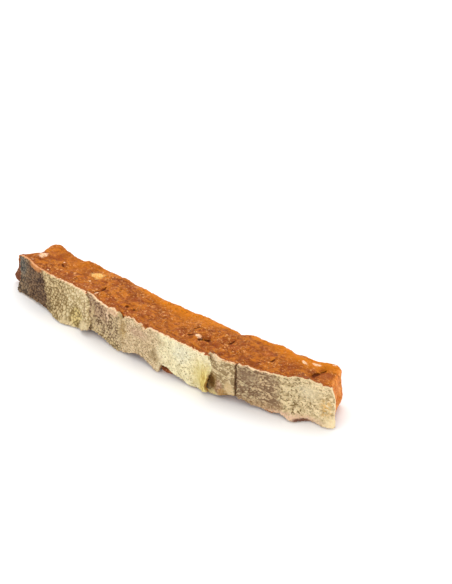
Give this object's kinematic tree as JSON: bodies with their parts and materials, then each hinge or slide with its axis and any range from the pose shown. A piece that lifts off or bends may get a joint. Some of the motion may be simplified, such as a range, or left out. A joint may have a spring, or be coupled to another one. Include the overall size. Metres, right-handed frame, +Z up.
{
  "type": "dried salmon stick with skin",
  "caption": "Dried stick of pressed minced salmon, slightly bowed, with torn strips of fish skin along one long side.",
  "frame": {"origin": "under the middle of the stick, on the surface it lies on", "axes": "+X along the stick towards the end with the pale skin, -Y the side that carries the skin, +Z up through the cut top"},
  "size_m": [0.1392, 0.028, 0.0164],
  "materials": {
    "salmon_meat": "dried pressed minced salmon, amber orange, slightly glossy",
    "fish_skin": "dried salmon skin, cream to grey brown, matt with small scale pockets"
  },
  "bodies": {
    "root": {"salmon_meat": "salmon_meat", "skin_first": "fish_skin", "skin_second": "fish_skin", "skin_third": "fish_skin", "skin_fourth": "fish_skin"}
  },
  "joints": []
}
